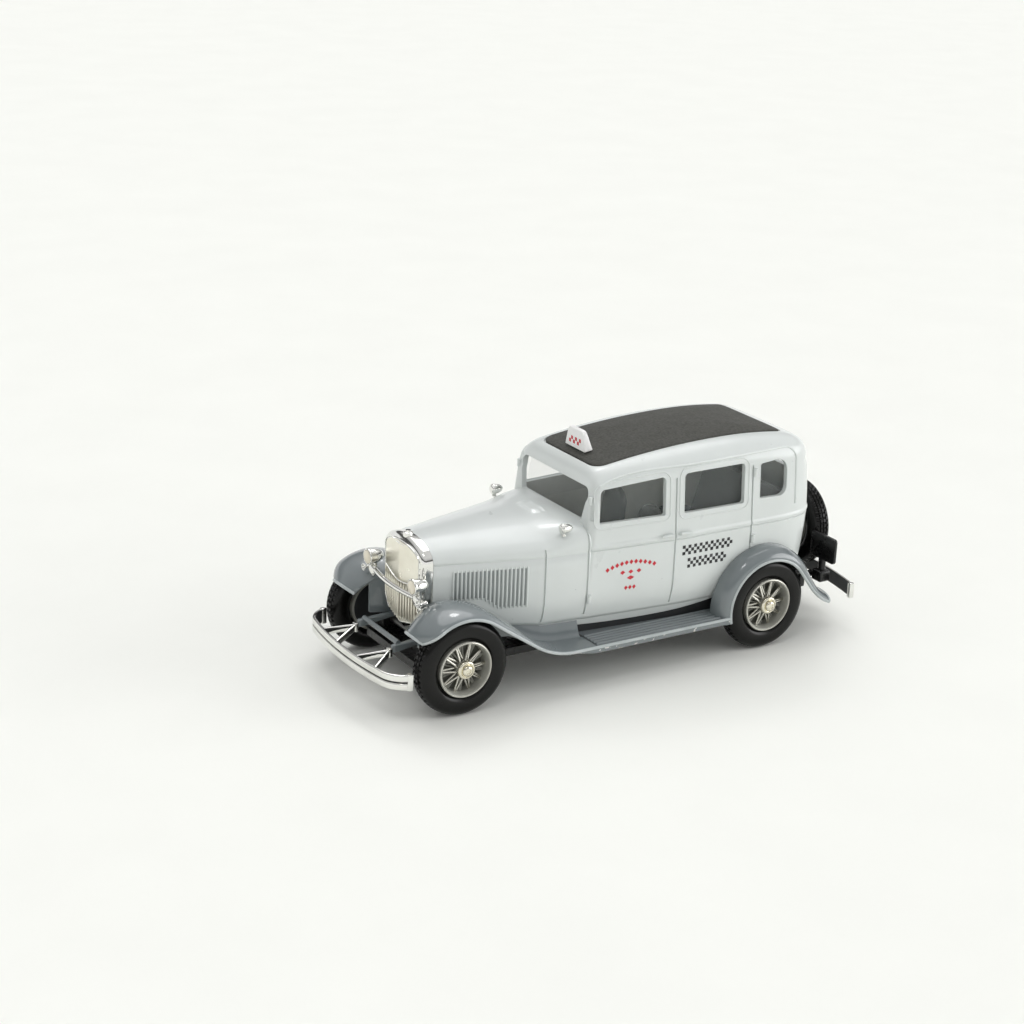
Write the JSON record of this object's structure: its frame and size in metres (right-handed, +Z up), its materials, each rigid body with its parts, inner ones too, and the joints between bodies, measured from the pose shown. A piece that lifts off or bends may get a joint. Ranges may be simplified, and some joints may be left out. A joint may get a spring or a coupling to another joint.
{
  "type": "toy taxi",
  "caption": "Die-cast toy saloon taxi of the early 1930s with flowing fenders, free-rolling wire wheels, plated radiator and bumpers, dark roof panel and a blank roof sign.",
  "frame": {"origin": "on the ground, under the middle of the model's length and width", "axes": "+X forward along the car, +Y to the car's left, +Z up"},
  "size_m": [0.0993, 0.0372, 0.0407],
  "materials": {
    "body_paint": "gloss",
    "fender_paint": "gloss",
    "roof_panel": "grained matte",
    "sign_white": "gloss",
    "clear": "clear gloss",
    "interior": "matte",
    "chrome": "bright plated",
    "black": "satin",
    "wheel_silver": "satin",
    "steel": "bright",
    "tyre": "semi-gloss"
  },
  "bodies": {
    "chassis": {"body_shell": "body_paint", "roof_insert": "roof_panel", "roof_sign": "sign_white", "window_glazing": "clear", "interior_tub": "interior", "steering_wheel": "black", "fender_unit": "fender_paint", "base_plate": "black", "base_screws": "steel", "radiator_shell": "chrome", "headlamp_bar": "chrome", "headlamp_lenses": "clear", "cowl_lamp_left": "chrome", "cowl_lamp_right": "chrome", "front_bumper": "chrome", "rear_bumper": "chrome", "spare_carrier": "black", "plate_bracket": "black", "spare_wheel": "wheel_silver", "spare_tyre": "tyre", "spare_hub_cap": "chrome"},
    "front_wheels": {"front_axle": "steel", "wheel_front_left": "wheel_silver", "wheel_front_right": "wheel_silver", "tyre_front_left": "tyre", "tyre_front_right": "tyre", "hub_cap_front_left": "chrome", "hub_cap_front_right": "chrome"},
    "rear_wheels": {"rear_axle": "steel", "wheel_rear_left": "wheel_silver", "wheel_rear_right": "wheel_silver", "tyre_rear_left": "tyre", "tyre_rear_right": "tyre", "hub_cap_rear_left": "chrome", "hub_cap_rear_right": "chrome"}
  },
  "joints": [
    {"name": "front_axle_spin", "type": "hinge", "parent": "chassis", "child": "front_wheels", "pos_m": [0.03555, 0, 0.0084], "axis": [0, 1, 0], "continuous": true},
    {"name": "rear_axle_spin", "type": "hinge", "parent": "chassis", "child": "rear_wheels", "pos_m": [-0.02705, 0, 0.0084], "axis": [0, 1, 0], "continuous": true}
  ]
}
